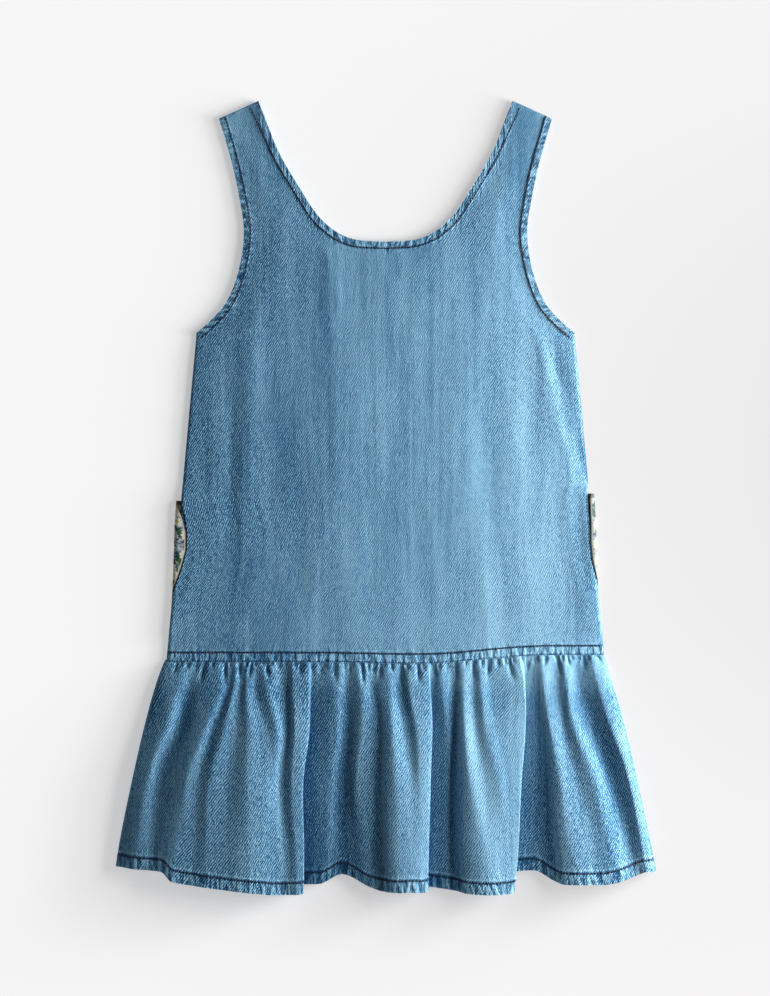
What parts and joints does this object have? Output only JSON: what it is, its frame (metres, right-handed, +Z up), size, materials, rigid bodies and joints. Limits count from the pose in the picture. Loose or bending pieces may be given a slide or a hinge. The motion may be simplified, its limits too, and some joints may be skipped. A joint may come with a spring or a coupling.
{
  "type": "pinafore dress",
  "caption": "Child's sleeveless denim pinafore laid flat back side up: scooped neck, cut-in straps, dropped waist seam, gathered skirt and printed side pockets.",
  "frame": {"origin": "middle of the laid-out dress, on the surface it lies on", "axes": "+Y up the dress from hem to straps, +X to the right as seen from above, +Z up from the surface, towards the back of the dress"},
  "size_m": [0.4856, 0.7132, 0.0285],
  "materials": {
    "denim": "washed light blue cotton twill",
    "floral_cotton": "plain-woven cotton with a small flower print",
    "thread": "dark topstitching thread"
  },
  "bodies": {
    "root": {"back_body": "denim", "front_body": "denim", "back_skirt": "denim", "front_skirt": "denim", "pocket_left": "floral_cotton", "pocket_right": "floral_cotton"}
  },
  "joints": []
}
